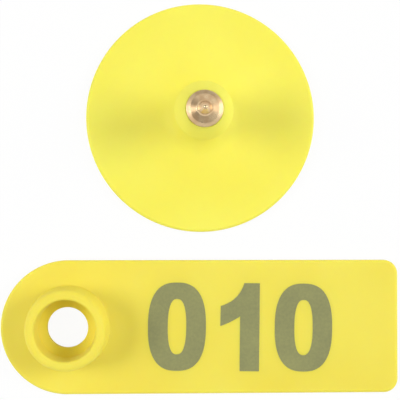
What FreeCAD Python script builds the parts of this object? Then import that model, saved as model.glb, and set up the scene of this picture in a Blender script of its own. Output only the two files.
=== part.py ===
"""Two-piece livestock ear tag, laid open: the pin half stands on its button, the number flag lies beside it.

In use the pin half's stud goes through the ear and through the flag's hole from the back. The barb snaps
into the socket of the flag's boss and can't draw back, and the flag turns freely on the stud's neck.
Frame: millimetres, +Z up from the surface that both halves lie on, +X along the flag towards its square
end, +Y from the flag to the button. The origin is under the middle of the pair.
"""

import FreeCAD, Part

import os

import Sketcher

# Driving dimensions: alias, millimetres, meaning.
SIZES = [
    ("flag_length", 52.0, "flag from its round end to its square end"),
    ("flag_width", 17.4, "flag across, and the diameter of its round end"),
    ("flag_thickness", 1.3, "flag away from its boss"),
    ("flag_corner", 1.8, "corner radius at the square end"),
    ("flag_face_round", 0.35, "rounding of the flag's face edge"),
    ("flag_back_bevel", 0.2, "bevel of the flag's back edge"),
    ("hole_dia", 5.3, "hole in the flag, which the stud's neck turns in"),
    ("hole_land", 1.5, "height of the hole's upper edge"),
    ("hole_lead", 0.25, "lead-in chamfer round the hole on the back"),
    ("socket_floor", 2.5, "height of the socket floor's outer edge, where the barb rests"),
    ("socket_round", 0.4, "fillet between the socket's floor and wall"),
    ("socket_flare", 0.2, "gain of the socket's radius from floor to mouth"),
    ("socket_clearance", 0.1, "radial gap between the barb and the socket's wall"),
    ("boss_height", 6.3, "top of the boss"),
    ("boss_wall", 1.15, "boss wall at the mouth"),
    ("boss_draft", 0.35, "gain of the boss's outer radius from top to foot"),
    ("boss_rim_round", 0.7, "outer rounding of the boss's rim"),
    ("boss_lip_bevel", 0.25, "inner bevel of the boss's rim"),
    ("boss_foot_round", 0.25, "fillet at the boss's foot"),
    ("boss_swell", 16.0, "radius of the hollow rise of the flag's face to the boss"),
    ("boss_swell_reach", 2.6, "reach of that rise beyond the boss's foot fillet"),
    ("button_dia", 30.0, "button across"),
    ("button_edge", 1.2, "button's thickness at its edge"),
    ("button_face_round", 0.4, "rounding of the button's face edge"),
    ("button_back_bevel", 0.25, "bevel of the button's back edge"),
    ("button_dish", 50.0, "radius of the hollow rise of the button's face to the stud"),
    ("stud_flare", 3.3, "fillet at the stud's foot"),
    ("stud_wall", 1.0, "wall of the hollow stud"),
    ("stud_lead", 0.3, "lead-in chamfer of the stud's bore on the back"),
    ("swivel_clearance", 0.15, "radial gap between the stud's neck and the hole"),
    ("ear_gap", 7.0, "space for the ear between the button's edge and the flag"),
    ("barb_catch", 0.95, "overhang of the barb past the hole's edge"),
    ("barb_land", 0.4, "straight side of the barb"),
    ("barb_cone", 1.7, "height of the barb's cone"),
    ("barb_round", 0.12, "rounding between the barb's side and cone"),
    ("barb_undercut", 0.3, "fillet under the barb"),
    ("point_clearance", 0.4, "radial gap between the metal point and the hole it leads through"),
    ("point_seat", 0.12, "flat of the stud's top that shows round the point"),
    ("point_sink", 0.5, "depth of the point's rim in the stud"),
    ("point_rim", 0.25, "height of the point's rim above the stud"),
    ("point_bevel_width", 0.45, "bevel of the rim, across"),
    ("point_bevel_height", 0.1, "bevel of the rim, up"),
    ("point_cone", 0.63, "height of the lower cone"),
    ("point_step_dia", 2.05, "lower cone at its top"),
    ("point_step", 0.2, "width of the step between the cones"),
    ("point_tip", 1.15, "height of the upper cone"),
    ("point_nose", 0.35, "radius of the blunted nose"),
    ("shank_ledge", 0.25, "ledge at the end of the stud's bore, which the shank stands on"),
    ("shank_length", 3.1, "shank from its foot to the point's rim"),
    ("anchor_groove", 0.7, "groove of the shank that the stud's plastic fills"),
    ("anchor_collar", 0.6, "collar below that groove"),
    ("anchor_overhang", 0.5, "overhang of that collar past the shank"),
    ("halves_gap", 3.7, "space between the button and the flag as they lie"),
]

# Sizes that follow from the driving ones, as expressions on the sheet.
HALF_WIDTH = "Sizes.flag_width / 2"
SQUARE_END = f"(Sizes.flag_length - {HALF_WIDTH})"
HOLE_RADIUS = "Sizes.hole_dia / 2"
NECK_RADIUS = f"({HOLE_RADIUS} - Sizes.swivel_clearance)"
BARB_RADIUS = f"({HOLE_RADIUS} + Sizes.barb_catch)"
SOCKET_RADIUS = f"({BARB_RADIUS} + Sizes.socket_clearance)"
MOUTH_RADIUS = f"({SOCKET_RADIUS} + Sizes.socket_flare)"
BOSS_RADIUS = f"({MOUTH_RADIUS} + Sizes.boss_wall)"
FOOT_CENTRE = f"({BOSS_RADIUS} + Sizes.boss_draft + Sizes.boss_foot_round)"
SWELL_START = f"({FOOT_CENTRE} + Sizes.boss_swell_reach)"
FOOT_HEIGHT = "(Sizes.flag_thickness + Sizes.boss_swell_reach ^ 2 / Sizes.boss_swell / 2)"
BUTTON_RADIUS = "Sizes.button_dia / 2"
DISH_EDGE = f"({BUTTON_RADIUS} - Sizes.button_face_round)"
FLARE_CENTRE = f"({NECK_RADIUS} + Sizes.stud_flare)"
BORE_RADIUS = f"({NECK_RADIUS} - Sizes.stud_wall)"
BARB_SHOULDER = "(Sizes.button_edge + Sizes.ear_gap + Sizes.socket_floor)"
UNDERCUT_FOOT = f"({BARB_SHOULDER} - Sizes.barb_undercut)"
UNDERCUT_EDGE = f"({NECK_RADIUS} + Sizes.barb_undercut)"
BARB_TOP = f"({BARB_SHOULDER} + Sizes.barb_land)"
STUD_TOP = f"({BARB_TOP} + Sizes.barb_cone)"
POINT_RADIUS = f"({HOLE_RADIUS} - Sizes.point_clearance)"
POINT_FOOT = f"({STUD_TOP} - Sizes.point_sink)"
RIM_TOP = f"({STUD_TOP} + Sizes.point_rim)"
CONE_FOOT = f"({RIM_TOP} + Sizes.point_bevel_height)"
STEP_HEIGHT = f"({CONE_FOOT} + Sizes.point_cone)"
STEP_RADIUS = "Sizes.point_step_dia / 2"
TIP_RADIUS = f"({STEP_RADIUS} - Sizes.point_step)"
NOSE_HEIGHT = f"({STEP_HEIGHT} + Sizes.point_tip)"
SHANK_RADIUS = f"({BORE_RADIUS} + Sizes.shank_ledge)"
SHANK_FOOT = f"({POINT_FOOT} - Sizes.shank_length)"
COLLAR_RADIUS = f"({SHANK_RADIUS} + Sizes.anchor_overhang)"
COLLAR_TOP = f"({POINT_FOOT} - Sizes.anchor_groove)"
COLLAR_FOOT = f"({COLLAR_TOP} - Sizes.anchor_collar)"
CUT_MARGIN = 1  # how far a cut runs past the faces that it opens


class Near:
    """A size that the other dimensions and tangents settle: its expression only says where to start."""

    def __init__(self, expression):
        self.expression = expression


class Corner:
    """A corner of an outline, with the edge that leaves it: a line, or an arc round a centre."""

    def __init__(self, across, up, smooth=False, radius=None, centre=None, clockwise=False):
        self.place = (across, up)
        self.smooth = smooth  # the edges that meet here are tangent
        self.radius = radius
        self.centre = centre
        self.clockwise = clockwise


def fill_sheet(doc):
    """The spreadsheet of driving dimensions, one aliased cell each."""
    sheet = doc.addObject("Spreadsheet::Sheet", "Sizes")
    for row, (alias, value, meaning) in enumerate(SIZES, start=1):
        sheet.set(f"A{row}", alias)
        sheet.set(f"B{row}", str(value))
        sheet.set(f"C{row}", meaning)
        sheet.setAlias(f"B{row}", alias)
    doc.recompute()


def start_body(doc, name, x, y):
    """An empty body named for its sub-part, placed by expressions on the sheet."""
    body = doc.addObject("PartDesign::Body", name)
    body.Label = name
    body.setExpression("Placement.Base.x", x)
    body.setExpression("Placement.Base.y", y)
    return body


def draw_outline(body, name, plane, corners):
    """A closed sketch on one of the body's planes, each of its dimensions bound to the sheet."""
    sketch = body.newObject("Sketcher::SketchObject", name)
    support = next(feature for feature in body.Origin.OriginFeatures if feature.Role == plane)
    sketch.AttachmentSupport = (support, [""])
    sketch.MapMode = "FlatFace"

    def value(size):
        return float(sketch.evalExpression(size.expression if isinstance(size, Near) else size))

    def vector(place):
        return FreeCAD.Vector(value(place[0]), value(place[1]), 0)

    def bind(size, kind, *edges_and_vertices):
        if not isinstance(size, Near):
            constraint = Sketcher.Constraint(kind, *edges_and_vertices, value(size))
            sketch.setExpression(f"Constraints[{sketch.addConstraint(constraint)}]", size)

    def place_vertex(edge, vertex, place):
        bind(place[0], "DistanceX", -1, 1, edge, vertex)
        bind(place[1], "DistanceY", -1, 1, edge, vertex)

    starts = [vector(corner.place) for corner in corners]
    tails = []  # which vertex of each edge is at its own corner, and which at the next
    for edge, corner in enumerate(corners):
        start, end = starts[edge], starts[(edge + 1) % len(corners)]
        if corner.radius is None:
            sketch.addGeometry(Part.LineSegment(start, end))
        else:
            circle = Part.Circle(vector(corner.centre), FreeCAD.Vector(0, 0, 1), value(corner.radius))
            first, last = (end, start) if corner.clockwise else (start, end)
            sketch.addGeometry(Part.ArcOfCircle(circle, circle.parameter(first), circle.parameter(last)))
        tails.append((2, 1) if corner.clockwise else (1, 2))
    for edge, corner in enumerate(corners):
        join = "Tangent" if corner.smooth else "Coincident"
        sketch.addConstraint(Sketcher.Constraint(join, edge - 1 if edge else len(corners) - 1,
                                                 tails[edge - 1][1], edge, tails[edge][0]))
        place_vertex(edge, tails[edge][0], corner.place)
        if corner.radius is not None:
            bind(corner.radius, "Radius", edge)
            place_vertex(edge, 3, corner.centre)
    return sketch


def turn(body, kind, name, sketch):
    """A Revolution or Groove of a sketch, all the way round the body's Z axis."""
    feature = body.newObject(f"PartDesign::{kind}", name)
    feature.Profile = sketch
    feature.ReferenceAxis = (sketch, ["V_Axis"])
    feature.Angle = 360
    body.Document.recompute()
    return feature


def dress_edge(body, kind, name, place, size):
    """A Fillet or Chamfer along the tip's edge nearest to a place, and on along its tangents."""
    point = Part.Vertex(*(float(body.evalExpression(coordinate)) for coordinate in place))
    edges = body.Tip.Shape.Edges
    nearest = min(range(len(edges)), key=lambda number: point.distToShape(edges[number])[0])
    feature = body.newObject(f"PartDesign::{kind}", name)
    feature.Base = (feature.BaseFeature, [f"Edge{nearest + 1}"])
    feature.setExpression("Radius" if kind == "Fillet" else "Size", size)
    body.Document.recompute()


def make_number_flag(doc):
    """The flag: a flat tongue with a round end, whose face rises to a boss with the barb's socket."""
    body = start_body(doc, "number_flag", f"{HALF_WIDTH} - Sizes.flag_length / 2",
                      "-(Sizes.button_dia + Sizes.halves_gap) / 2")
    outline = draw_outline(body, "FlagOutline", "XY_Plane", [
        Corner("0", f"-{HALF_WIDTH}"),
        Corner(f"{SQUARE_END} - Sizes.flag_corner", f"-{HALF_WIDTH}", radius="Sizes.flag_corner",
               centre=(Near(f"{SQUARE_END} - Sizes.flag_corner"), Near(f"Sizes.flag_corner - {HALF_WIDTH}"))),
        Corner(SQUARE_END, f"Sizes.flag_corner - {HALF_WIDTH}"),
        Corner(SQUARE_END, f"{HALF_WIDTH} - Sizes.flag_corner", radius="Sizes.flag_corner",
               centre=(Near(f"{SQUARE_END} - Sizes.flag_corner"), Near(f"{HALF_WIDTH} - Sizes.flag_corner"))),
        Corner(f"{SQUARE_END} - Sizes.flag_corner", HALF_WIDTH),
        Corner("0", HALF_WIDTH, radius=Near(HALF_WIDTH), centre=("0", Near("0"))),
    ])
    blank = body.newObject("PartDesign::Pad", "FlagBlank")
    blank.Profile = outline
    blank.setExpression("Length", "Sizes.boss_height")
    doc.recompute()
    above_boss = f"Sizes.boss_height + {CUT_MARGIN}"
    past_flag = f"Sizes.flag_length + {CUT_MARGIN}"
    face = draw_outline(body, "FaceProfile", "XZ_Plane", [
        Corner(BOSS_RADIUS, above_boss),
        Corner(BOSS_RADIUS, "Sizes.boss_height"),
        Corner(Near(f"{FOOT_CENTRE} - Sizes.boss_foot_round"), Near(f"{FOOT_HEIGHT} + Sizes.boss_foot_round"),
               smooth=True, radius="Sizes.boss_foot_round",
               centre=(FOOT_CENTRE, Near(f"{FOOT_HEIGHT} + Sizes.boss_foot_round"))),
        Corner(Near(FOOT_CENTRE), Near(FOOT_HEIGHT), smooth=True, radius="Sizes.boss_swell",
               centre=(SWELL_START, Near("Sizes.flag_thickness + Sizes.boss_swell"))),
        Corner(SWELL_START, "Sizes.flag_thickness"),
        Corner(past_flag, "Sizes.flag_thickness"),
        Corner(past_flag, above_boss),
    ])
    turn(body, "Groove", "FaceCut", face)
    socket = draw_outline(body, "SocketProfile", "XZ_Plane", [
        Corner("0", f"-{CUT_MARGIN}"),
        Corner(f"{HOLE_RADIUS} + Sizes.hole_lead", f"-{CUT_MARGIN}"),
        Corner(f"{HOLE_RADIUS} + Sizes.hole_lead", "0"),
        Corner(HOLE_RADIUS, "Sizes.hole_lead"),
        Corner(HOLE_RADIUS, "Sizes.hole_land"),
        Corner(SOCKET_RADIUS, "Sizes.socket_floor"),
        Corner(MOUTH_RADIUS, "Sizes.boss_height - Sizes.boss_lip_bevel"),
        Corner(f"{MOUTH_RADIUS} + Sizes.boss_lip_bevel", "Sizes.boss_height"),
        Corner(f"{MOUTH_RADIUS} + Sizes.boss_lip_bevel", above_boss),
        Corner("0", above_boss),
    ])
    turn(body, "Groove", "SocketCut", socket)
    corner = ("0", SOCKET_RADIUS, "Sizes.socket_floor")
    dress_edge(body, "Fillet", "SocketRound", corner, "Sizes.socket_round")
    rim = ("0", BOSS_RADIUS, "Sizes.boss_height")
    dress_edge(body, "Fillet", "RimRound", rim, "Sizes.boss_rim_round")
    face_edge = (SQUARE_END, "0", "Sizes.flag_thickness")
    dress_edge(body, "Fillet", "FaceRound", face_edge, "Sizes.flag_face_round")
    back_edge = (SQUARE_END, "0", "0")
    dress_edge(body, "Chamfer", "BackBevel", back_edge, "Sizes.flag_back_bevel")
    return body


def anchor_corners():
    """The outline by which the metal point is moulded in: shank, collar, groove and underside of the rim."""
    return [
        Corner(SHANK_RADIUS, SHANK_FOOT),
        Corner(SHANK_RADIUS, COLLAR_FOOT),
        Corner(COLLAR_RADIUS, COLLAR_FOOT),
        Corner(COLLAR_RADIUS, COLLAR_TOP),
        Corner(SHANK_RADIUS, COLLAR_TOP),
        Corner(SHANK_RADIUS, POINT_FOOT),
        Corner(POINT_RADIUS, POINT_FOOT),
    ]


def make_stud_button(doc):
    """The pin half: a button whose face rises in a trumpet to a hollow stud with a barbed head."""
    body = start_body(doc, "stud_button", "0", "(Sizes.flag_width + Sizes.halves_gap) / 2")
    outline = draw_outline(body, "ButtonProfile", "XZ_Plane", [
        Corner("0", "0"),
        Corner(f"{BUTTON_RADIUS} - Sizes.button_back_bevel", "0"),
        Corner(BUTTON_RADIUS, "Sizes.button_back_bevel"),
        Corner(BUTTON_RADIUS, "Sizes.button_edge - Sizes.button_face_round", radius="Sizes.button_face_round",
               centre=(Near(DISH_EDGE), Near("Sizes.button_edge - Sizes.button_face_round"))),
        Corner(DISH_EDGE, "Sizes.button_edge", radius="Sizes.button_dish", clockwise=True,
               centre=(DISH_EDGE, Near("Sizes.button_edge + Sizes.button_dish"))),
        Corner(Near(FLARE_CENTRE), Near("Sizes.button_edge + 1"), smooth=True, radius="Sizes.stud_flare",
               centre=(Near(FLARE_CENTRE), Near("Sizes.button_edge + Sizes.stud_flare + 1")), clockwise=True),
        Corner(NECK_RADIUS, Near("Sizes.button_edge + Sizes.stud_flare + 1"), smooth=True),
        Corner(NECK_RADIUS, UNDERCUT_FOOT, radius="Sizes.barb_undercut", clockwise=True,
               centre=(Near(UNDERCUT_EDGE), Near(UNDERCUT_FOOT))),
        Corner(UNDERCUT_EDGE, BARB_SHOULDER),
        Corner(BARB_RADIUS, BARB_SHOULDER),
        Corner(BARB_RADIUS, BARB_TOP),
        Corner(f"{POINT_RADIUS} + Sizes.point_seat", STUD_TOP),
        Corner("0", STUD_TOP),
    ])
    turn(body, "Revolution", "ButtonTurned", outline)
    above_stud = f"{STUD_TOP} + {CUT_MARGIN}"
    bore = draw_outline(body, "BoreProfile", "XZ_Plane", [
        Corner("0", f"-{CUT_MARGIN}"),
        Corner(f"{BORE_RADIUS} + Sizes.stud_lead", f"-{CUT_MARGIN}"),
        Corner(f"{BORE_RADIUS} + Sizes.stud_lead", "0"),
        Corner(BORE_RADIUS, "Sizes.stud_lead"),
        Corner(BORE_RADIUS, SHANK_FOOT),
        *anchor_corners(),
        Corner(POINT_RADIUS, above_stud),
        Corner("0", above_stud),
    ])
    turn(body, "Groove", "BoreCut", bore)
    dress_edge(body, "Fillet", "BarbRound", ("0", BARB_RADIUS, BARB_TOP), "Sizes.barb_round")
    return body


def make_metal_point(doc):
    """The turned point in the stud's head: a bevelled rim and two stepped cones over a collared shank."""
    body = start_body(doc, "metal_point", "0", "(Sizes.flag_width + Sizes.halves_gap) / 2")
    outline = draw_outline(body, "PointProfile", "XZ_Plane", [
        Corner("0", SHANK_FOOT),
        *anchor_corners(),
        Corner(POINT_RADIUS, RIM_TOP),
        Corner(f"{POINT_RADIUS} - Sizes.point_bevel_width", CONE_FOOT),
        Corner(STEP_RADIUS, STEP_HEIGHT),
        Corner(TIP_RADIUS, STEP_HEIGHT),
        Corner(Near("Sizes.point_nose"), Near(f"{NOSE_HEIGHT} - Sizes.point_nose"), smooth=True,
               radius="Sizes.point_nose", centre=("0", Near(f"{NOSE_HEIGHT} - Sizes.point_nose"))),
        Corner("0", NOSE_HEIGHT),
    ])
    turn(body, "Revolution", "PointTurned", outline)
    return body


def check_and_export(doc, bodies):
    """Stop on any failed object or bad shape, and otherwise write each body to its STEP file."""
    doc.recompute()
    for thing in doc.Objects:
        if "Invalid" in thing.State or "Error" in thing.State:
            raise RuntimeError(f"{thing.Name} failed: {thing.State}")
    for body in bodies:
        if body.Shape.isNull() or not body.Shape.isValid() or len(body.Shape.Solids) != 1:
            raise RuntimeError(f"{body.Label} is not one valid solid")
    os.makedirs("parts", exist_ok=True)
    for body in bodies:
        body.Shape.exportStep(f"parts/{body.Label}.step")
        print(f"{body.Label}: {body.Shape.Volume:.1f} mm3")


document = FreeCAD.newDocument("EarTag")
fill_sheet(document)
stud_button = make_stud_button(document)
metal_point = make_metal_point(document)
number_flag = make_number_flag(document)
check_and_export(document, [stud_button, metal_point, number_flag])
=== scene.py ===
"""A two-piece livestock ear tag in moulded yellow polyurethane.

The pin half has a hollow barbed stud with a turned brass point, and the flag half has a laser-marked number.
"""

import logging
import math
from dataclasses import dataclass
from enum import Enum
from typing import Any, Sequence

import bmesh
import bpy
from mathutils import Matrix, Vector


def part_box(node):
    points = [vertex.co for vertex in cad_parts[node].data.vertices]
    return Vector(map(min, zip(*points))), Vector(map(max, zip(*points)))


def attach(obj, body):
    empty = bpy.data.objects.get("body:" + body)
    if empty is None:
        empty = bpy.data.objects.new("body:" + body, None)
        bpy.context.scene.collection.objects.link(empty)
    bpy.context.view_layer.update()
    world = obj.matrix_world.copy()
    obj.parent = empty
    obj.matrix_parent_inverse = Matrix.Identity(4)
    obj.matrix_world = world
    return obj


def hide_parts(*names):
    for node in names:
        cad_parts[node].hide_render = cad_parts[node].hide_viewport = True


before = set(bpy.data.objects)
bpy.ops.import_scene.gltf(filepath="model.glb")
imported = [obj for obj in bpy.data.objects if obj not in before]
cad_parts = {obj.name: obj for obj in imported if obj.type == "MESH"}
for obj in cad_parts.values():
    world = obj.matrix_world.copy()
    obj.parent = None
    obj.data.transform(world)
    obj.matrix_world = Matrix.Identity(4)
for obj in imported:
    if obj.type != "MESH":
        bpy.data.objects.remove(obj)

LOG = logging.getLogger("ear_tag")
MM = 0.001
UP = Vector((0.0, 0.0, 1.0))

# How finely round forms are drawn: round an axis, along a profile's arcs, and round its softened corners.
TURNED_SEGMENTS = 240
ARC_STEP = math.radians(4.5)
ARC_STEPS_AT_LEAST = 4
ROUND_STEP = math.radians(9.0)
ROUND_STEPS_AT_LEAST = 3
# Creases sharper than this stay sharp, and the larger faces set the normals of the rest.
CREASE_ANGLE = math.radians(34.0)
LARGE_FACE_WEIGHT = 100

Point = tuple[float, float]
Curve = tuple[Point, Point, Point]
Corner = tuple[float, float, float]
Place = tuple[float, float, float]
Spot = tuple[Vector, Vector]
Ring = list[Vector]
Colour = tuple[float, float, float, float]

WHITE: Colour = (1.0, 1.0, 1.0, 1.0)
# A noise texture's values bunch about the middle, nearly all of them between these two.
NOISE_LOW, NOISE_HIGH = 0.3, 0.7
# A wave texture of scale 1 has bands this far apart.
WAVE_PITCH = math.pi / 10


class MarkTone(Enum):
    """How dark the laser burns a mark in the plastic."""

    LIGHT = "95955d"
    MEDIUM = "838456"


# ---------------------------------------------------------------- colour and nodes


def linear(hex_colour: str) -> Colour:
    """Turn an sRGB hex colour to the linear values that a shader takes.

    Args:
        hex_colour: Six hex digits, red first.

    Returns:
        Linear red, green and blue, and an alpha of 1.
    """
    channels = [int(hex_colour[place:place + 2], 16) / 255 for place in (0, 2, 4)]
    red, green, blue = (c / 12.92 if c <= 0.04045 else ((c + 0.055) / 1.055) ** 2.4 for c in channels)
    return red, green, blue, 1.0


def add_node(tree: bpy.types.NodeTree, kind: str, inputs: dict[Any, Any] | None = None,
             **settings: Any) -> bpy.types.Node:
    """Add a node with its settings, and give its inputs their values and links.

    Args:
        tree: The tree that the node joins.
        kind: The node's type.
        inputs: A value or an output socket for each input, by its name or number.
        **settings: The node's own properties.

    Returns:
        The new node.
    """
    node = tree.nodes.new(kind)
    for name, value in settings.items():
        setattr(node, name, value)
    for name, value in (inputs or {}).items():
        if isinstance(value, bpy.types.NodeSocket):
            tree.links.new(value, node.inputs[name])
        else:
            node.inputs[name].default_value = value
    return node


def new_material(name: str) -> tuple[bpy.types.Material, bpy.types.NodeTree, bpy.types.NodeSocket]:
    """Start a node material with nothing in it but its output.

    Args:
        name: The real material and how it was made.

    Returns:
        The material, its node tree, and the output's surface socket.
    """
    material = bpy.data.materials.new(name)
    material.use_nodes = True
    tree = material.node_tree
    tree.nodes.clear()
    output = add_node(tree, "ShaderNodeOutputMaterial")
    return material, tree, output.inputs["Surface"]


# ---------------------------------------------------------------- finishes


@dataclass(frozen=True)
class MouldedPolyurethane:
    """Injection-moulded polyurethane: milky and a little waxy, with the fine grain of an eroded mould.

    Light goes about a millimetre into it, so thin walls glow and hollows turn to a deep orange yellow.
    Lengths are in millimetres.
    """

    body: str = "f0e255"
    rich: str = "eddc4b"
    roughness_low: float = 0.62
    roughness_high: float = 0.74
    ior: float = 1.50
    scatter: float = 0.5
    scatter_depth: float = 1.3
    scatter_by_colour: tuple[float, float, float] = (1.0, 0.8, 0.12)
    grain: float = 0.22
    grain_height: float = 0.004
    flow: float = 14.0
    flow_edges: Point = (0.35, 0.65)

    def material(self) -> bpy.types.Material:
        """Build the material.

        Returns:
            A procedural material in object coordinates.
        """
        material, tree, surface = new_material("moulded_polyurethane_yellow")
        place = add_node(tree, "ShaderNodeTexCoord").outputs["Object"]
        # Pigment isn't mixed in quite evenly: soft clouds about as long as the melt flowed between folds.
        clouds = add_node(tree, "ShaderNodeTexNoise", {
            "Vector": place, "Scale": 1 / (self.flow * MM), "Detail": 2.0, "Roughness": 0.45})
        pigment = add_node(tree, "ShaderNodeValToRGB", {"Fac": clouds.outputs["Fac"]})
        for stop, edge, tone in zip(pigment.color_ramp.elements, self.flow_edges, (self.rich, self.body)):
            stop.position, stop.color = edge, linear(tone)
        # The eroded mould leaves a grain of about 0.2 mm, which also breaks the gloss up.
        grain = add_node(tree, "ShaderNodeTexNoise", {
            "Vector": place, "Scale": 1 / (self.grain * MM), "Detail": 3.0, "Roughness": 0.6}).outputs["Fac"]
        gloss = add_node(tree, "ShaderNodeMapRange", {
            "Value": grain, "From Min": NOISE_LOW, "From Max": NOISE_HIGH,
            "To Min": self.roughness_low, "To Max": self.roughness_high})
        bump = add_node(tree, "ShaderNodeBump", {
            "Strength": 1.0, "Distance": self.grain_height * MM, "Height": grain})
        # The yellow pigment stops blue light almost at once, so only red and green spread inside.
        shader = add_node(tree, "ShaderNodeBsdfPrincipled", {
            "Base Color": pigment.outputs["Color"], "Roughness": gloss.outputs["Result"], "IOR": self.ior,
            "Subsurface Weight": self.scatter, "Subsurface Radius": self.scatter_by_colour,
            "Subsurface Scale": self.scatter_depth * MM, "Normal": bump.outputs["Normal"]})
        tree.links.new(shader.outputs["BSDF"], surface)
        return material


@dataclass(frozen=True)
class TurnedBrass:
    """Free-cutting brass turned on an automatic lathe: the tool leaves fine rings, and handling dulls it.

    Lengths are in millimetres.
    """

    metal: str = "ebcfa4"
    tarnish: str = "dbb88c"
    roughness_low: float = 0.26
    roughness_high: float = 0.38
    ring_pitch: float = 0.11
    ring_height: float = 0.004
    stain: float = 0.9
    stain_edges: Point = (0.38, 0.62)

    def material(self) -> bpy.types.Material:
        """Build the material.

        Returns:
            A procedural material in object coordinates.
        """
        material, tree, surface = new_material("turned_brass")
        place = add_node(tree, "ShaderNodeTexCoord").outputs["Object"]
        # Feed marks are some 0.05 mm apart, drawn at twice that so that they show.
        rings = add_node(tree, "ShaderNodeTexWave", {
            "Vector": place, "Scale": WAVE_PITCH / (self.ring_pitch * MM), "Distortion": 1.2, "Detail": 2.0,
            "Detail Scale": 0.4}, wave_type="BANDS", bands_direction="Z").outputs["Fac"]
        # Skin grease dulls it in blots, which are both browner and rougher.
        stain = add_node(tree, "ShaderNodeTexNoise", {
            "Vector": place, "Scale": 1 / (self.stain * MM), "Detail": 4.0}).outputs["Fac"]
        shade = add_node(tree, "ShaderNodeValToRGB", {"Fac": stain})
        for stop, edge, tone in zip(shade.color_ramp.elements, self.stain_edges, (self.tarnish, self.metal)):
            stop.position, stop.color = edge, linear(tone)
        gloss = add_node(tree, "ShaderNodeMapRange", {
            "Value": stain, "From Min": NOISE_LOW, "From Max": NOISE_HIGH,
            "To Min": self.roughness_high, "To Max": self.roughness_low})
        bump = add_node(tree, "ShaderNodeBump", {
            "Strength": 0.6, "Distance": self.ring_height * MM, "Height": rings})
        shader = add_node(tree, "ShaderNodeBsdfPrincipled", {
            "Base Color": shade.outputs["Color"], "Metallic": 1.0, "Roughness": gloss.outputs["Result"],
            "Normal": bump.outputs["Normal"]})
        tree.links.new(shader.outputs["BSDF"], surface)
        return material


@dataclass(frozen=True)
class LaserMark:
    """Laser-foamed polyurethane: the beam chars the pigment to a matt olive grey, and the border is painted
    paler as painted light scattered in from the plastic.

    Lengths are in millimetres.
    """

    # Painted light: the pale yellow of the border, for light scattered through the plastic under the mark's
    # edge.
    edge: str = "c9c169"
    ior: float = 1.50
    roughness: float = 0.62
    speckle: float = 0.35
    speckle_height: float = 0.004
    patch: float = 3.5
    char_edges: Point = (0.30, 0.75)

    def material(self) -> bpy.types.Material:
        """Build the material.

        Returns:
            A procedural material that fades from the char to the painted light bleed at its border, by a value
            kept in the mesh.
        """
        material, tree, surface = new_material("laser_charred_polyurethane")
        place = add_node(tree, "ShaderNodeTexCoord").outputs["Object"]
        # The beam's own spots, and slow changes of its focus over a digit.
        spots = add_node(tree, "ShaderNodeTexNoise", {
            "Vector": place, "Scale": 1 / (self.speckle * MM), "Detail": 2.0}).outputs["Fac"]
        patches = add_node(tree, "ShaderNodeTexNoise", {
            "Vector": place, "Scale": 1 / (self.patch * MM), "Detail": 1.0}).outputs["Fac"]
        uneven = add_node(tree, "ShaderNodeMix", {"Factor": 0.5, "A": spots, "B": patches}, data_type="FLOAT")
        char = add_node(tree, "ShaderNodeValToRGB", {"Fac": uneven.outputs["Result"]})
        tones = (MarkTone.MEDIUM.value, MarkTone.LIGHT.value)
        for stop, edge, tone in zip(char.color_ramp.elements, self.char_edges, tones):
            stop.position, stop.color = edge, linear(tone)
        char_inside_bleed = add_node(tree, "ShaderNodeAttribute", attribute_name="char_inside_bleed").outputs["Fac"]
        # The border is painted light: it runs to a pale yellow that stands for light scattering out of the
        # plastic under the mark's edge.
        blend = add_node(tree, "ShaderNodeMix", {
            "Factor": char_inside_bleed, "A": linear(self.edge), "B": char.outputs["Color"]}, data_type="RGBA")
        bump = add_node(tree, "ShaderNodeBump", {
            "Strength": 1.0, "Distance": self.speckle_height * MM, "Height": spots})
        shader = add_node(tree, "ShaderNodeBsdfPrincipled", {
            "Base Color": blend.outputs["Result"], "Roughness": self.roughness, "IOR": self.ior,
            "Normal": bump.outputs["Normal"]})
        tree.links.new(shader.outputs["BSDF"], surface)
        return material


@dataclass(frozen=True)
class PaperSweep:
    """Matt white paper under the tag: it takes the soft shadow, and looks white in itself and in reflections.

    Lengths are in millimetres.
    """

    paper: str = "f4f4f2"
    tooth: float = 0.5
    tooth_height: float = 0.01
    lift: float = 0.93

    def material(self) -> bpy.types.Material:
        """Build the material.

        Returns:
            A diffuse material with a little light of its own for what looks at it.
        """
        material, tree, surface = new_material("matt_white_paper")
        place = add_node(tree, "ShaderNodeTexCoord").outputs["Object"]
        tooth = add_node(tree, "ShaderNodeTexNoise", {"Vector": place, "Scale": 1 / (self.tooth * MM)})
        bump = add_node(tree, "ShaderNodeBump", {
            "Strength": 0.2, "Distance": self.tooth_height * MM, "Height": tooth.outputs["Fac"]})
        diffuse = add_node(tree, "ShaderNodeBsdfDiffuse", {
            "Color": linear(self.paper), "Normal": bump.outputs["Normal"]})
        ray = add_node(tree, "ShaderNodeLightPath").outputs
        mirrored = add_node(tree, "ShaderNodeMath", {
            0: ray["Is Glossy Ray"], 1: ray["Is Transmission Ray"]}, operation="MAXIMUM")
        seen = add_node(tree, "ShaderNodeMath", {
            0: ray["Is Camera Ray"], 1: mirrored.outputs[0]}, operation="MAXIMUM")
        amount = add_node(tree, "ShaderNodeMath", {0: seen.outputs[0], 1: self.lift}, operation="MULTIPLY")
        glow = add_node(tree, "ShaderNodeEmission", {"Color": WHITE, "Strength": 1.0})
        mix = add_node(tree, "ShaderNodeMixShader", {
            0: amount.outputs[0], 1: diffuse.outputs[0], 2: glow.outputs[0]})
        tree.links.new(mix.outputs[0], surface)
        return material


# ---------------------------------------------------------------- turned and skinned meshes


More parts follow.
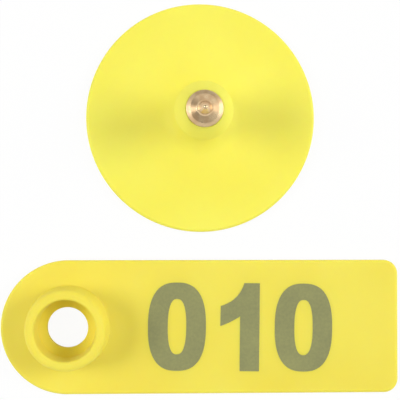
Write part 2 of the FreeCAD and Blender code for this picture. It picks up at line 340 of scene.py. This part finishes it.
def arc(centre: Point, radius: float, start: float, end: float) -> list[Corner]:
    """Lay points along an arc of a profile.

    Args:
        centre: The arc's centre, as distance from the axis and height.
        radius: The arc's radius.
        start: Angle of its first point in degrees, from the outward direction.
        end: Angle of its last point in degrees.

    Returns:
        The points, none of them to be rounded.
    """
    count = max(ARC_STEPS_AT_LEAST, math.ceil(abs(math.radians(end - start)) / ARC_STEP))
    angles = [math.radians(start + (end - start) * step / count) for step in range(count + 1)]
    across, up = centre
    return [(across + radius * math.cos(angle), up + radius * math.sin(angle), 0.0) for angle in angles]


def soften(corners: list[Corner], loop: bool) -> list[Point]:
    """Round the corners of a profile.

    Args:
        corners: Distance from the axis, height and rounding radius of each corner.
        loop: Whether the last corner joins the first.

    Returns:
        The profile's points, with an arc of points in place of each rounded corner.
    """
    points: list[Point] = []
    for number, (across, up, rounding) in enumerate(corners):
        if rounding == 0.0 or (not loop and number in (0, len(corners) - 1)):
            points.append((across, up))
            continue
        here = Vector((across, up))
        before = (Vector(corners[number - 1][:2]) - here).normalized()
        after = (Vector(corners[(number + 1) % len(corners)][:2]) - here).normalized()
        half = before.angle(after) / 2
        centre = here + (before + after).normalized() * (rounding / math.sin(half))
        first = here + before * (rounding / math.tan(half)) - centre
        last = here + after * (rounding / math.tan(half)) - centre
        sweep = first.angle_signed(last)
        count = max(ROUND_STEPS_AT_LEAST, math.ceil(abs(sweep) / ROUND_STEP))
        for step in range(count + 1):
            spoke = Matrix.Rotation(-sweep * step / count, 2) @ first
            points.append(tuple(centre + spoke))
    return points


def skin(name: str, rings: list[Ring], loop: bool) -> bpy.types.Object:
    """Stretch one smooth closed surface over rings of points.

    Args:
        name: The piece's name.
        rings: The rings in order, each of the same count, or of a single point at a pole.
        loop: Whether the last ring joins the first.

    Returns:
        The new piece, shaded smooth between its creases.
    """
    shell = bmesh.new()
    rows = [[shell.verts.new(place) for place in ring] for ring in rings]
    for low, high in zip(rows, rows[1:] + rows[:1] if loop else rows[1:]):
        count = max(len(low), len(high))
        for step in range(count):
            following = (step + 1) % count
            corners = [low[step % len(low)], low[following % len(low)],
                       high[following % len(high)], high[step % len(high)]]
            # Next to a pole two of the corners are the same.
            shell.faces.new(list(dict.fromkeys(corners)))
    return finish_mesh(name, shell)


def finish_mesh(name: str, shell: bmesh.types.BMesh) -> bpy.types.Object:
    """Turn a working mesh to a piece with clean normals.

    Args:
        name: The piece's name.
        shell: The closed working mesh, which is freed.

    Returns:
        The new piece.
    """
    bmesh.ops.recalc_face_normals(shell, faces=shell.faces)
    mesh = bpy.data.meshes.new(name)
    shell.to_mesh(mesh)
    shell.free()
    mesh.shade_smooth()
    mesh.set_sharp_from_angle(angle=CREASE_ANGLE)
    piece = bpy.data.objects.new(name, mesh)
    bpy.context.scene.collection.objects.link(piece)
    weighted = piece.modifiers.new("face_weighted_normals", "WEIGHTED_NORMAL")
    weighted.keep_sharp = True
    weighted.weight = LARGE_FACE_WEIGHT
    return piece


def turned(name: str, corners: list[Corner], axis: Vector, loop: bool) -> bpy.types.Object:
    """Turn a profile round an upright axis.

    Args:
        name: The piece's name.
        corners: The profile in millimetres, as distance from the axis, height and rounding.
        axis: Where the axis stands, in metres.
        loop: Whether the profile is a closed ring clear of the axis.

    Returns:
        The new piece.
    """
    rings = []
    for across, up in soften(corners, loop):
        count = TURNED_SEGMENTS if across > 0.0 else 1
        angles = [math.tau * step / count for step in range(count)]
        rings.append([axis + Vector((across * math.cos(angle), across * math.sin(angle), up)) * MM
                      for angle in angles])
    return skin(name, rings, loop)


# ---------------------------------------------------------------- sub-assemblies


@dataclass(frozen=True)
class MetalPoint:
    """The turned point moulded into the stud's head: a bevelled rim and two stepped cones. Millimetres."""

    rim: float = 2.25
    rim_foot: float = 12.3
    rim_top: float = 13.05
    rim_edge: float = 0.08
    bevel: float = 0.45
    bevel_edge: float = 0.1
    cone_foot: float = 13.15
    step_height: float = 13.78
    step_outer: float = 1.025
    step_edge: float = 0.05
    step_inner: float = 0.825
    step_root: float = 0.04
    top: float = 14.93
    nose: float = 0.35
    shank: float = 1.75
    shank_foot: float = 9.2
    collar: float = 2.25
    collar_foot: float = 11.0
    collar_top: float = 11.6

    def anchor(self) -> list[Corner]:
        """Lay out what the moulding grips, from the shank's foot up to under the rim.

        Returns:
            The corners, all of them sharp.
        """
        return [
            (self.shank, self.shank_foot, 0.0),
            (self.shank, self.collar_foot, 0.0),
            (self.collar, self.collar_foot, 0.0),
            (self.collar, self.collar_top, 0.0),
            (self.shank, self.collar_top, 0.0),
            (self.shank, self.rim_foot, 0.0),
            (self.rim, self.rim_foot, 0.0),
        ]

    def nose_arc(self) -> list[Corner]:
        """Lay out the blunted nose, tangent to the upper cone.

        Returns:
            The arc's points, up to just short of the axis.
        """
        centre_up = self.top - self.nose
        rise = centre_up - self.step_height
        reach = math.hypot(self.step_inner, rise)
        start = math.degrees(math.atan2(self.step_inner, rise) - math.asin(self.nose / reach))
        return arc((0.0, centre_up), self.nose, start, 90.0)[:-1]

    def profile(self) -> list[Corner]:
        """Lay out the turned outline from the shank's foot to the nose.

        Returns:
            The profile's corners.
        """
        return [
            (0.0, self.shank_foot, 0.0),
            *self.anchor(),
            (self.rim, self.rim_top, self.rim_edge),
            (self.rim - self.bevel, self.cone_foot, self.bevel_edge),
            (self.step_outer, self.step_height, self.step_edge),
            (self.step_inner, self.step_height, self.step_root),
            *self.nose_arc(),
            (0.0, self.top, 0.0),
        ]

    def build(self, axis: Vector, brass: bpy.types.Material) -> bpy.types.Object:
        """Turn the point and dress it.

        Args:
            axis: Where the stud stands, in metres.
            brass: The turned brass.

        Returns:
            The finished piece.
        """
        piece = turned("piercing_point", self.profile(), axis, loop=False)
        piece.data.materials.append(brass)
        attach(piece, "root")
        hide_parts("metal_point")
        return piece


@dataclass(frozen=True)
class StudButton:
    """The pin half: a button whose face rises in a trumpet to a hollow stud with a barbed head. Millimetres."""

    radius: float = 15.0
    edge: float = 1.2
    face_round: float = 0.4
    back_round: float = 0.25
    dish: float = 50.0
    flare: float = 3.3
    neck: float = 2.5
    bore: float = 1.5
    bore_lead: float = 0.3
    bore_edge: float = 0.1
    undercut: float = 0.3
    barb: float = 3.6
    barb_foot_round: float = 0.08
    barb_round: float = 0.12
    shoulder: float = 10.7
    barb_top: float = 11.1
    stud_top: float = 12.8
    seat: float = 2.37
    seat_edge: float = 0.06
    seat_lip: float = 0.04
    point: MetalPoint = MetalPoint()

    def profile(self) -> list[Corner]:
        """Lay out the ring that is turned, from the back face round to the bore.

        Returns:
            The profile's corners.
        """
        rim = self.radius - self.face_round
        flare_across = self.neck + self.flare
        dish_up = self.edge + self.dish
        flare_up = dish_up - math.sqrt((self.dish - self.flare) ** 2 - (rim - flare_across) ** 2)
        # The dish and the flare meet where the line between their centres crosses them.
        meet = 180.0 + math.degrees(math.atan2(dish_up - flare_up, rim - flare_across))
        return [
            (self.bore + self.bore_lead, 0.0, self.bore_edge),
            (self.radius, 0.0, self.back_round),
            *arc((rim, self.edge - self.face_round), self.face_round, 0.0, 90.0)[:-1],
            *arc((rim, dish_up), self.dish, 270.0, meet)[:-1],
            *arc((flare_across, flare_up), self.flare, meet, 180.0),
            (self.neck, self.shoulder, self.undercut),
            (self.barb, self.shoulder, self.barb_foot_round),
            (self.barb, self.barb_top, self.barb_round),
            (self.seat, self.stud_top, self.seat_edge),
            (self.point.rim, self.stud_top, self.seat_lip),
            *reversed(self.point.anchor()),
            (self.bore, self.point.shank_foot, 0.0),
            (self.bore, self.bore_lead, 0.0),
        ]

    def build(self, axis: Vector, plastic: bpy.types.Material) -> bpy.types.Object:
        """Turn the button and dress it.

        Args:
            axis: Where the stud stands, in metres.
            plastic: The moulded plastic.

        Returns:
            The finished piece.
        """
        piece = turned("button_with_stud", self.profile(), axis, loop=True)
        piece.data.materials.append(plastic)
        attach(piece, "root")
        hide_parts("stud_button")
        return piece


@dataclass(frozen=True)
class NumberFlag:
    """The flag half: a tongue with a round end, whose face rises to a boss with a socket. Millimetres."""

    length: float = 52.0
    half_width: float = 8.7
    thickness: float = 1.3
    corner: float = 1.8
    face_round: float = 0.35
    back_round: float = 0.22
    hole: float = 2.65
    hole_lead: float = 0.25
    hole_edge: float = 0.1
    hole_land: float = 1.5
    land_edge: float = 0.08
    socket: float = 3.7
    socket_floor: float = 2.5
    socket_round: float = 0.4
    mouth: float = 3.9
    lip_round: float = 0.32
    boss: float = 5.05
    boss_height: float = 6.3
    rim_round: float = 0.7
    boss_draft: float = 0.35
    foot_round: float = 0.25
    swell: float = 16.0
    swell_reach: float = 2.6
    side_steps: int = 60
    corner_steps: int = 12
    round_end_steps: int = 120
    swell_steps: int = 10
    face_edge_steps: int = 8
    back_edge_steps: int = 6

    @property
    def boss_foot(self) -> float:
        """How far the foot of the boss stands from its axis."""
        return self.boss + self.boss_draft + self.foot_round

    def along_side(self, way: float, first: float, last: float) -> list[Spot]:
        """Walk along a long side of the flag, close together near the boss.

        Args:
            way: 1 for the side at positive y, and -1 for the other.
            first: Angle of the first place, seen from the boss's axis, in radians.
            last: Angle that the walk stops short of.

        Returns:
            The places and their outward directions.
        """
        leans = [first + (last - first) * step / self.side_steps for step in range(self.side_steps)]
        out = Vector((0.0, way, 0.0))
        return [(Vector((self.half_width / math.tan(lean), way * self.half_width, 0.0)), out) for lean in leans]

    def along_arc(self, centre: Point, radius: float, start: float, sweep: float, count: int) -> list[Spot]:
        """Walk round a centre.

        Args:
            centre: The centre, from the boss's axis.
            radius: The arc's radius.
            start: Angle of the first place in degrees.
            sweep: The turn that the walk stops short of.
            count: How many places to make.

        Returns:
            The places and their outward directions.
        """
        spots = []
        for step in range(count):
            angle = math.radians(start + sweep * step / count)
            out = Vector((math.cos(angle), math.sin(angle), 0.0))
            spots.append((Vector((*centre, 0.0)) + out * radius, out))
        return spots

    def along_end(self, across: float, half: float) -> list[Spot]:
        """Walk down the square end.

        Args:
            across: How far the end stands from the boss's axis.
            half: Half the straight part's length.

        Returns:
            The places and their outward directions.
        """
        out = Vector((1.0, 0.0, 0.0))
        return [(Vector((across, half - 2 * half * step / self.corner_steps, 0.0)), out)
                for step in range(self.corner_steps)]

    def outline(self) -> list[Spot]:
        """Walk round the flag's edge, seen from above, with the boss's axis at the origin.

        Returns:
            A place and its outward direction for each step.
        """
        end = self.length - self.half_width
        bend = end - self.corner
        side = self.half_width - self.corner
        beside, ahead = math.pi / 2, math.atan2(self.half_width, bend)
        return [
            *self.along_side(1.0, beside, ahead),
            *self.along_arc((bend, side), self.corner, 90.0, -90.0, self.corner_steps),
            *self.along_end(end, side),
            *self.along_arc((bend, -side), self.corner, 0.0, -90.0, self.corner_steps),
            *self.along_side(-1.0, ahead, beside),
            *self.along_arc((0.0, 0.0), self.half_width, -90.0, -180.0, self.round_end_steps),
        ]

    def boss_profile(self) -> list[Point]:
        """Lay out the boss and its socket, from the back's hole to the foot of the boss.

        Returns:
            The profile's points as distance from the axis and height.
        """
        foot_up = self.face_height(self.boss_foot) + self.foot_round
        slope = math.degrees(math.atan2(self.swell, self.swell_reach))
        inward, up = self.boss - self.boss_foot, self.boss_height - foot_up
        lean = math.degrees(math.atan2(up, inward) + math.acos(self.foot_round / math.hypot(inward, up)))
        corners: list[Corner] = [
            (2 * self.hole, 0.0, 0.0),
            (self.hole + self.hole_lead, 0.0, self.hole_edge),
            (self.hole, self.hole_lead, self.hole_edge),
            (self.hole, self.hole_land, self.land_edge),
            (self.socket, self.socket_floor, self.socket_round),
            (self.mouth, self.boss_height, self.lip_round),
            (self.boss, self.boss_height, self.rim_round),
            *arc((self.boss_foot, foot_up), self.foot_round, lean, 180.0 + slope),
        ]
        # The first corner is only there to round the next one against the back, so it is dropped.
        return soften(corners, loop=False)[1:]

    def face_height(self, across: float) -> float:
        """Height of the flag's face at a distance from the boss's axis."""
        inside = max(0.0, self.boss_foot + self.swell_reach - across)
        return self.thickness + self.swell - math.sqrt(self.swell ** 2 - inside ** 2)

    def swell_rings(self, ways: list[Vector], edge: list[Spot]) -> list[Ring]:
        """Lay out the rings of the swollen face between the foot of the boss and the flag's edge.

        Args:
            ways: The direction from the boss's axis for each step round the edge.
            edge: The flag's outline.

        Returns:
            The rings in millimetres.
        """
        rings = []
        start = self.boss_foot + self.swell_reach
        reaches = [min(start, (place - out * self.face_round).length) for place, out in edge]
        for step in range(1, self.swell_steps):
            spans = [self.boss_foot + (reach - self.boss_foot) * step / self.swell_steps for reach in reaches]
            rings.append([way * span + UP * self.face_height(span) for way, span in zip(ways, spans)])
        return rings

    def edge_rings(self, edge: list[Spot]) -> list[Ring]:
        """Lay out the rings that go round the edge, from the face to the back.

        Args:
            edge: The flag's outline.

        Returns:
            The rings in millimetres.
        """
        rings = []
        for step in range(self.face_edge_steps + 1):
            lean = math.pi / 2 * step / self.face_edge_steps
            inset, drop = self.face_round * (1 - math.sin(lean)), self.face_round * (1 - math.cos(lean))
            rings.append([place - out * inset + UP * (self.face_height(place.length - self.face_round) - drop)
                          for place, out in edge])
        for step in range(self.back_edge_steps + 1):
            lean = math.pi / 2 * step / self.back_edge_steps
            inset, up = self.back_round * (1 - math.cos(lean)), self.back_round * (1 - math.sin(lean))
            rings.append([place - out * inset + UP * up for place, out in edge])
        return rings

    def rings(self, axis: Vector) -> list[Ring]:
        """Lay out the rings of the closed surface, from the hole's edge on the back round to the back again.

        Args:
            axis: Where the boss stands, in metres.

        Returns:
            The rings in metres.
        """
        edge = self.outline()
        ways = [place.normalized() for place, _ in edge]
        boss = [[way * across + UP * up for way in ways] for across, up in self.boss_profile()]
        rings = [*boss, *self.swell_rings(ways, edge), *self.edge_rings(edge)]
        return [[axis + place * MM for place in ring] for ring in rings]

    def build(self, axis: Vector, plastic: bpy.types.Material) -> bpy.types.Object:
        """Skin the flag and dress it.

        Args:
            axis: Where the boss stands, in metres.
            plastic: The moulded plastic.

        Returns:
            The finished piece.
        """
        piece = skin("flag_with_boss", self.rings(axis), loop=True)
        piece.data.materials.append(plastic)
        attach(piece, "root")
        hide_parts("number_flag")
        return piece


@dataclass(frozen=True)
class LaserNumber:
    """The animal's number on the flag's face, in plain digits. Millimetres, from the number's middle."""

    height: float = 11.5
    width: float = 7.56
    fullness: float = 2.55
    counter_height: float = 7.22
    counter_width: float = 2.42
    counter_fullness: float = 2.5
    stem_left: float = -0.05
    stem_right: float = 2.5
    flag_over: Curve = ((0.47, 5.75), (-0.25, 3.4), (-2.6, 2.75))
    flag_under: Curve = ((-2.64, 0.12), (-1.35, 0.55), (-0.05, 1.4))
    pitch: float = 8.3
    turn: float = -0.65
    # Width of the border ring where the painted light bleed is mixed in.
    painted_bleed_width: float = 0.16
    proud: float = 0.012
    sunk: float = 0.03
    from_boss: float = 22.5
    below_middle: float = 0.05
    oval_steps: int = 96
    curve_steps: int = 10

    def oval(self, width: float, height: float, fullness: float) -> list[Point]:
        """Walk round a full-bodied oval.

        Args:
            width: Its width.
            height: Its height.
            fullness: 2 for an ellipse, and more for a squarer oval.

        Returns:
            The oval's places.
        """
        places = []
        for step in range(self.oval_steps):
            angle = math.tau * step / self.oval_steps
            cosine, sine = math.cos(angle), math.sin(angle)
            places.append((width / 2 * math.copysign(abs(cosine) ** (2 / fullness), cosine),
                           height / 2 * math.copysign(abs(sine) ** (2 / fullness), sine)))
        return places

    def swept(self, curve: Curve) -> list[Point]:
        """Walk along a curve that starts and ends at its outer places, and is drawn towards its middle one.

        Args:
            curve: The start, the place that pulls, and the end.

        Returns:
            The curve's places.
        """
        start, pull, end = curve
        shares = [step / self.curve_steps for step in range(self.curve_steps + 1)]
        return [tuple((1 - share) ** 2 * a + 2 * share * (1 - share) * b + share ** 2 * c
                      for a, b, c in zip(start, pull, end)) for share in shares]

    def one(self) -> list[Point]:
        """Walk round the digit one: a stem, and a flag that sweeps down to the left.

        Returns:
            The digit's places.
        """
        half = self.height / 2
        return [(self.stem_right, -half), (self.stem_right, half), *self.swept(self.flag_over),
                *self.swept(self.flag_under), (self.stem_left, -half)]

    def digit(self, name: str, loops: list[list[Point]], offset: float, origin: Vector,
              char: bpy.types.Material) -> bpy.types.Object:
        """Make one digit as a thin skin in the flag's face.

        Args:
            name: The piece's name.
            loops: Its outer edge, and its counter's edge if it has one, with as many places.
            offset: How far the digit stands to the right of the number's middle.
            origin: The number's middle on the face, in metres.
            char: The charred plastic.

        Returns:
            The finished piece.
        """
        shell = bmesh.new()
        swing = Matrix.Rotation(math.radians(self.turn), 3, "Z")
        rows = [[shell.verts.new(origin + swing @ Vector((x + offset, y, self.proud)) * MM) for x, y in loop]
                for loop in loops]
        if len(rows) == 1:
            top = [shell.faces.new(rows[0])]
        else:
            outer, inner = rows
            top = [shell.faces.new((outer[step - 1], outer[step], inner[step], inner[step - 1]))
                   for step in range(len(outer))]
        bmesh.ops.recalc_face_normals(shell, faces=shell.faces)
        border = set(shell.verts)
        bmesh.ops.inset_region(shell, faces=top, thickness=self.painted_bleed_width * MM, use_even_offset=True)
        # The border ring gets 0 and the inside 1: 0 is where the painted light bleed is mixed in.
        char_inside_bleed = shell.verts.layers.float.new("char_inside_bleed")
        for vertex in shell.verts:
            vertex[char_inside_bleed] = 0.0 if vertex in border else 1.0
        wall = bmesh.ops.extrude_face_region(shell, geom=list(shell.faces))
        moved = [item for item in wall["geom"] if isinstance(item, bmesh.types.BMVert)]
        bmesh.ops.translate(shell, verts=moved, vec=-UP * (self.proud + self.sunk) * MM)
        piece = finish_mesh(name, shell)
        piece.data.materials.append(char)
        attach(piece, "root")
        return piece

    def build(self, boss: Vector, face: float, char: bpy.types.Material) -> list[bpy.types.Object]:
        """Mark the number on the face.

        Args:
            boss: Where the boss stands, in metres.
            face: Height of the flag's face, in metres.
            char: The charred plastic.

        Returns:
            The digits, from left to right.
        """
        origin = Vector((boss.x + self.from_boss * MM, boss.y - self.below_middle * MM, face))
        nought = [self.oval(self.width, self.height, self.fullness),
                  self.oval(self.counter_width, self.counter_height, self.counter_fullness)]
        return [self.digit("mark_hundreds", nought, -self.pitch, origin, char),
                self.digit("mark_tens", [self.one()], 0.0, origin, char),
                self.digit("mark_units", nought, self.pitch, origin, char)]


# ---------------------------------------------------------------- studio


def facing(place: Vector, target: Vector) -> Matrix:
    """Stand something so that it looks at a target with the flag's long side level.

    Args:
        place: Where it stands.
        target: What it looks at.

    Returns:
        Its matrix.
    """
    back = (place - target).normalized()
    right = Vector((0.0, 1.0, 0.0)).cross(back).normalized()
    return Matrix.Translation(place) @ Matrix((right, back.cross(right), back)).transposed().to_4x4()


@dataclass(frozen=True)
class Softbox:
    """A rectangular softbox that faces the tag. Metres and watts."""

    name: str
    place: Place
    size: Point
    power: float

    def hang(self) -> None:
        """Hang the softbox in its place."""
        lamp = bpy.data.lights.new(self.name, "AREA")
        lamp.shape = "RECTANGLE"
        lamp.size, lamp.size_y = self.size
        lamp.energy = self.power
        holder = bpy.data.objects.new(self.name, lamp)
        bpy.context.scene.collection.objects.link(holder)
        holder.matrix_world = facing(Vector(self.place), Vector((0.0, 0.0, 0.0)))


@dataclass(frozen=True)
class Studio:
    """A table-top studio: white paper, a softbox at either side, a plain room and a camera above. Metres."""

    eye: Place = (-0.00605, -0.00287, 0.1420)
    aim: Place = (-0.00003, -0.00024, 0.0)
    lens: float = 96.8
    sensor: float = 36.0
    clip_start: float = 0.005
    clip_end: float = 10.0
    paper_side: float = 3.0
    paper_drop: float = 0.00002
    softboxes: tuple[Softbox, ...] = (
        Softbox("left_softbox", (-0.520, 0.027, 0.437), (0.30, 0.28), 2.3),
        Softbox("right_softbox", (0.527, 0.074, 0.423), (0.30, 0.32), 2.25),
    )
    dark_side: float = 0.05
    bright_side: float = 0.95
    side_edges: Point = (-0.92, -0.55)
    dim_wall: float = 0.12
    wall_edges: Point = (0.22, 0.44)
    ceiling: float = 0.85
    ceiling_edges: Point = (0.67, 0.90)

    def lay_paper(self) -> None:
        """Lay the paper just under the tag."""
        shell = bmesh.new()
        half = self.paper_side / 2
        corners = ((-half, -half), (half, -half), (half, half), (-half, half))
        shell.faces.new([shell.verts.new((x, y, -self.paper_drop)) for x, y in corners])
        mesh = bpy.data.meshes.new("paper_sweep")
        shell.to_mesh(mesh)
        shell.free()
        paper = bpy.data.objects.new("paper_sweep", mesh)
        bpy.context.scene.collection.objects.link(paper)
        paper.data.materials.append(PaperSweep().material())

    def light_room(self) -> None:
        """Fill the room with plain light: a bright ceiling, dim walls, and a bright foot, dark at the left."""
        world = bpy.data.worlds.new("studio_room")
        world.use_nodes = True
        tree = world.node_tree
        tree.nodes.clear()
        output = add_node(tree, "ShaderNodeOutputWorld")
        place = add_node(tree, "ShaderNodeTexCoord").outputs["Generated"]
        way = add_node(tree, "ShaderNodeSeparateXYZ", {0: place}).outputs
        foot = add_node(tree, "ShaderNodeMapRange", {
            "Value": way["X"], "From Min": self.side_edges[0], "From Max": self.side_edges[1],
            "To Min": self.dark_side, "To Max": self.bright_side})
        to_wall = add_node(tree, "ShaderNodeMapRange", {
            "Value": way["Z"], "From Min": self.wall_edges[0], "From Max": self.wall_edges[1]})
        wall = add_node(tree, "ShaderNodeMix", {
            "Factor": to_wall.outputs[0], "A": foot.outputs[0], "B": self.dim_wall}, data_type="FLOAT")
        to_ceiling = add_node(tree, "ShaderNodeMapRange", {
            "Value": way["Z"], "From Min": self.ceiling_edges[0], "From Max": self.ceiling_edges[1]})
        glow = add_node(tree, "ShaderNodeMix", {
            "Factor": to_ceiling.outputs[0], "A": wall.outputs["Result"], "B": self.ceiling}, data_type="FLOAT")
        # The camera looks at plain white, whatever lights the tag.
        room = add_node(tree, "ShaderNodeBackground", {"Color": WHITE, "Strength": glow.outputs["Result"]})
        seen = add_node(tree, "ShaderNodeBackground", {"Color": WHITE, "Strength": 1.0})
        camera_ray = add_node(tree, "ShaderNodeLightPath").outputs["Is Camera Ray"]
        mix = add_node(tree, "ShaderNodeMixShader", {0: camera_ray, 1: room.outputs[0], 2: seen.outputs[0]})
        tree.links.new(mix.outputs[0], output.inputs["Surface"])
        bpy.context.scene.world = world

    def set_camera(self) -> None:
        """Stand the camera over the tag."""
        camera = bpy.data.cameras.new("camera")
        camera.lens = self.lens
        camera.sensor_width = self.sensor
        camera.clip_start = self.clip_start
        camera.clip_end = self.clip_end
        holder = bpy.data.objects.new("camera", camera)
        bpy.context.scene.collection.objects.link(holder)
        holder.matrix_world = facing(Vector(self.eye), Vector(self.aim))
        bpy.context.scene.camera = holder

    def build(self) -> None:
        """Set up the camera, the paper and the lights."""
        self.set_camera()
        self.lay_paper()
        self.light_room()
        for softbox in self.softboxes:
            softbox.hang()
        bpy.context.scene.view_settings.view_transform = "Standard"


# ---------------------------------------------------------------- the tag


def main() -> None:
    """Build the tag and its studio, and report each piece."""
    logging.basicConfig(level=logging.INFO, format="%(name)s: %(message)s")
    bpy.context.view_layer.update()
    Studio().build()
    flag_plastic = MouldedPolyurethane().material()
    # Painted light: the button's copy of the plastic is painted lighter and greener than the flag's, for the
    # brighter light that falls on the button.
    lighter_lit_button_plastic = MouldedPolyurethane(body="f6ee5c", rich="f3e952").material()
    low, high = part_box("stud_button")
    stud = Vector(((low.x + high.x) / 2, (low.y + high.y) / 2, 0.0))
    button = StudButton(radius=min(high.x - low.x, high.y - low.y) / 2 / MM)
    low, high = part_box("number_flag")
    flag = NumberFlag(length=(high.x - low.x) / MM, half_width=(high.y - low.y) / 2 / MM)
    boss = Vector((low.x + flag.half_width * MM, (low.y + high.y) / 2, 0.0))
    pieces = [
        button.build(stud, lighter_lit_button_plastic),
        button.point.build(stud, TurnedBrass().material()),
        flag.build(boss, flag_plastic),
        *LaserNumber().build(boss, flag.thickness * MM, LaserMark().material()),
    ]
    for piece in pieces:
        LOG.info("%s: %d faces", piece.name, len(piece.data.polygons))


if __name__ == "__main__":
    main()
